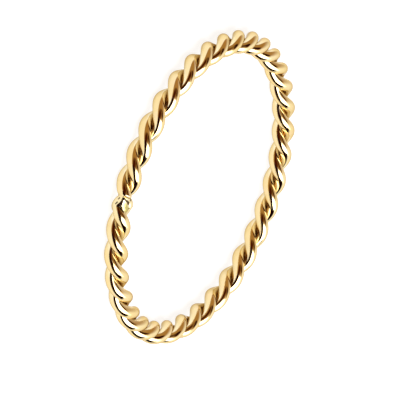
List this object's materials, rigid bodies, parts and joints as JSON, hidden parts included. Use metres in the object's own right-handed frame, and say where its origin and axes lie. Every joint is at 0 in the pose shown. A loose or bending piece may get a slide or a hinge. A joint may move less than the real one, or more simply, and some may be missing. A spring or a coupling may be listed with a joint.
{
  "type": "rope twist ring",
  "caption": "Slim finger ring of round gold wires twisted together into a left-handed rope and closed by a soldered seam.",
  "frame": {"origin": "on the ring's own axis, in the flat plane that the ring rests on when it lies on its side", "axes": "+Z along the ring's axis, up from the rest plane; -Y from the axis toward the soldered seam; +X to the right for a viewer who faces the seam"},
  "size_m": [0.0202, 0.0202, 0.0014],
  "materials": {
    "gold": "polished"
  },
  "bodies": {
    "root": {"twisted_band": "gold"}
  },
  "joints": []
}
